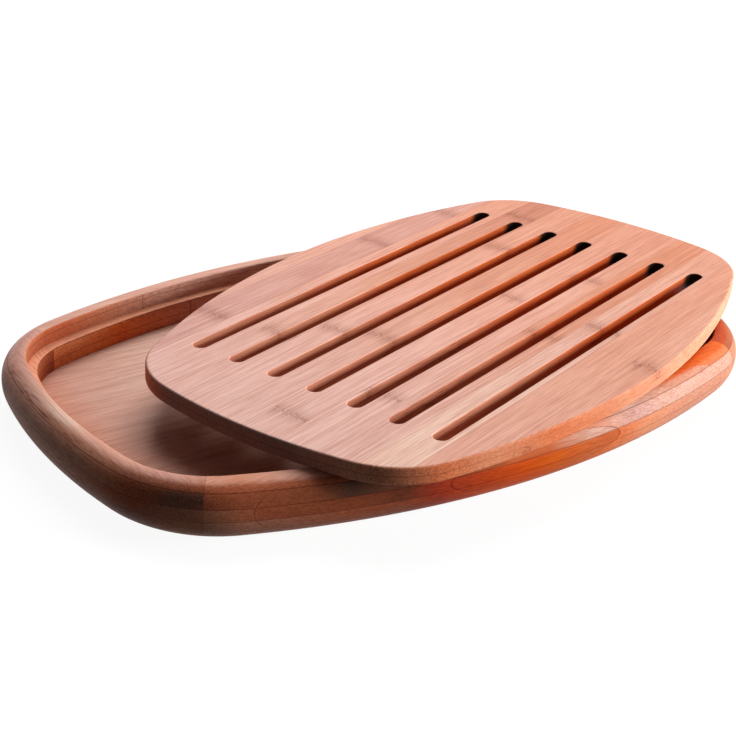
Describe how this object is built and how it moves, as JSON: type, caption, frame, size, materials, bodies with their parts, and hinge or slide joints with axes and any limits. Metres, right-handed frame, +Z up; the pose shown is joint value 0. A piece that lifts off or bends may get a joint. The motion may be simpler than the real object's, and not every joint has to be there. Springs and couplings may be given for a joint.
{
  "type": "bread board with crumb tray",
  "caption": "Slotted bamboo bread board lying askew on the rim of its bow-sided crumb tray, with a bulging rim and a ledged recess that the board drops into.",
  "frame": {"origin": "middle of the tray's flat underside, in the plane that it stands on", "axes": "+Z up; +X along the board's slots; +Y across the slots, towards the tray's end that the board leaves open"},
  "size_m": [0.4518, 0.3172, 0.0412],
  "materials": {
    "tray_bamboo": "satin, oiled caramelised bamboo, glued from thin layers",
    "board_bamboo": "dull satin, worn caramelised bamboo with fine streaks along the strips"
  },
  "bodies": {
    "tray": {"end_rail_left_ply_1": "tray_bamboo", "end_rail_left_ply_2": "tray_bamboo", "end_rail_left_ply_3": "tray_bamboo", "end_rail_left_ply_4": "tray_bamboo", "end_rail_left_ply_5": "tray_bamboo", "end_rail_right_ply_1": "tray_bamboo", "end_rail_right_ply_2": "tray_bamboo", "end_rail_right_ply_3": "tray_bamboo", "end_rail_right_ply_4": "tray_bamboo", "end_rail_right_ply_5": "tray_bamboo", "side_rail_front_ply_1": "tray_bamboo", "side_rail_front_ply_2": "tray_bamboo", "side_rail_front_ply_3": "tray_bamboo", "side_rail_front_ply_4": "tray_bamboo", "side_rail_front_ply_5": "tray_bamboo", "side_rail_back_ply_1": "tray_bamboo", "side_rail_back_ply_2": "tray_bamboo", "side_rail_back_ply_3": "tray_bamboo", "side_rail_back_ply_4": "tray_bamboo", "side_rail_back_ply_5": "tray_bamboo", "floor_strip_1": "tray_bamboo", "floor_strip_2": "tray_bamboo", "floor_strip_3": "tray_bamboo", "floor_strip_4": "tray_bamboo", "floor_strip_5": "tray_bamboo", "floor_strip_6": "tray_bamboo", "floor_strip_7": "tray_bamboo", "floor_strip_8": "tray_bamboo", "floor_strip_9": "tray_bamboo", "floor_strip_10": "tray_bamboo", "floor_strip_11": "tray_bamboo"},
    "board": {"board_bottom_strip_1": "board_bamboo", "board_bottom_strip_2": "board_bamboo", "board_bottom_strip_3": "board_bamboo", "board_bottom_strip_4": "board_bamboo", "board_bottom_strip_5": "board_bamboo", "board_bottom_strip_6": "board_bamboo", "board_bottom_strip_7": "board_bamboo", "board_bottom_strip_8": "board_bamboo", "board_bottom_strip_9": "board_bamboo", "board_bottom_strip_10": "board_bamboo", "board_bottom_strip_11": "board_bamboo", "board_bottom_strip_12": "board_bamboo", "board_top_strip_1": "board_bamboo", "board_top_strip_2": "board_bamboo", "board_top_strip_3": "board_bamboo", "board_top_strip_4": "board_bamboo", "board_top_strip_5": "board_bamboo", "board_top_strip_6": "board_bamboo", "board_top_strip_7": "board_bamboo", "board_top_strip_8": "board_bamboo", "board_top_strip_9": "board_bamboo", "board_top_strip_10": "board_bamboo", "board_top_strip_11": "board_bamboo", "board_top_strip_12": "board_bamboo"}
  },
  "joints": [
    {"name": "board_lift", "type": "slide", "parent": "tray", "child": "board", "axis": [0, 0, 1], "range_m": [0, 0.08]}
  ]
}
